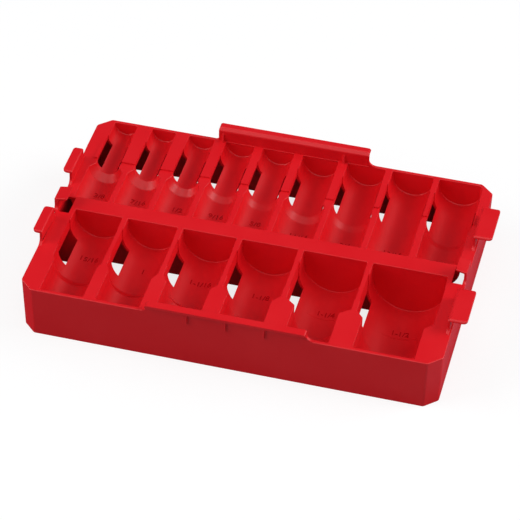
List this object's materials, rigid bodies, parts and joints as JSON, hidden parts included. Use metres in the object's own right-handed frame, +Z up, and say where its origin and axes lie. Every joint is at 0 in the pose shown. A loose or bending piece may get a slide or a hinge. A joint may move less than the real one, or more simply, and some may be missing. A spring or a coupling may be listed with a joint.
{
  "type": "socket organiser tray",
  "caption": "One-piece moulded plastic tray with two rows of stepped half-round cradles for sockets lying on their sides, and hooking lips and tabs on its edges",
  "frame": {"origin": "on the surface the tray stands on, under the middle of the whole footprint, side tabs and rear hook included", "axes": "+X from the left side to the right, as seen by somebody who reads the sizes; +Y from the front wall to the rear wall; +Z up"},
  "size_m": [0.3154, 0.2038, 0.0536],
  "materials": {
    "red_plastic": "satin"
  },
  "bodies": {
    "root": {"skirt": "red_plastic", "deck": "red_plastic", "rear_cradle_3_8": "red_plastic", "rear_cradle_7_16": "red_plastic", "rear_cradle_1_2": "red_plastic", "rear_cradle_9_16": "red_plastic", "rear_cradle_5_8": "red_plastic", "rear_cradle_11_16": "red_plastic", "rear_cradle_3_4": "red_plastic", "rear_cradle_13_16": "red_plastic", "rear_cradle_7_8": "red_plastic", "front_cradle_15_16": "red_plastic", "front_cradle_1": "red_plastic", "front_cradle_1_1_16": "red_plastic", "front_cradle_1_1_8": "red_plastic", "front_cradle_1_1_4": "red_plastic", "front_cradle_1_1_2": "red_plastic", "cross_web": "red_plastic", "rear_lip": "red_plastic", "front_lip": "red_plastic", "left_front_tab": "red_plastic", "left_rear_tab": "red_plastic", "right_front_tab": "red_plastic", "right_rear_tab": "red_plastic", "left_keeper": "red_plastic", "right_keeper": "red_plastic"}
  },
  "joints": []
}
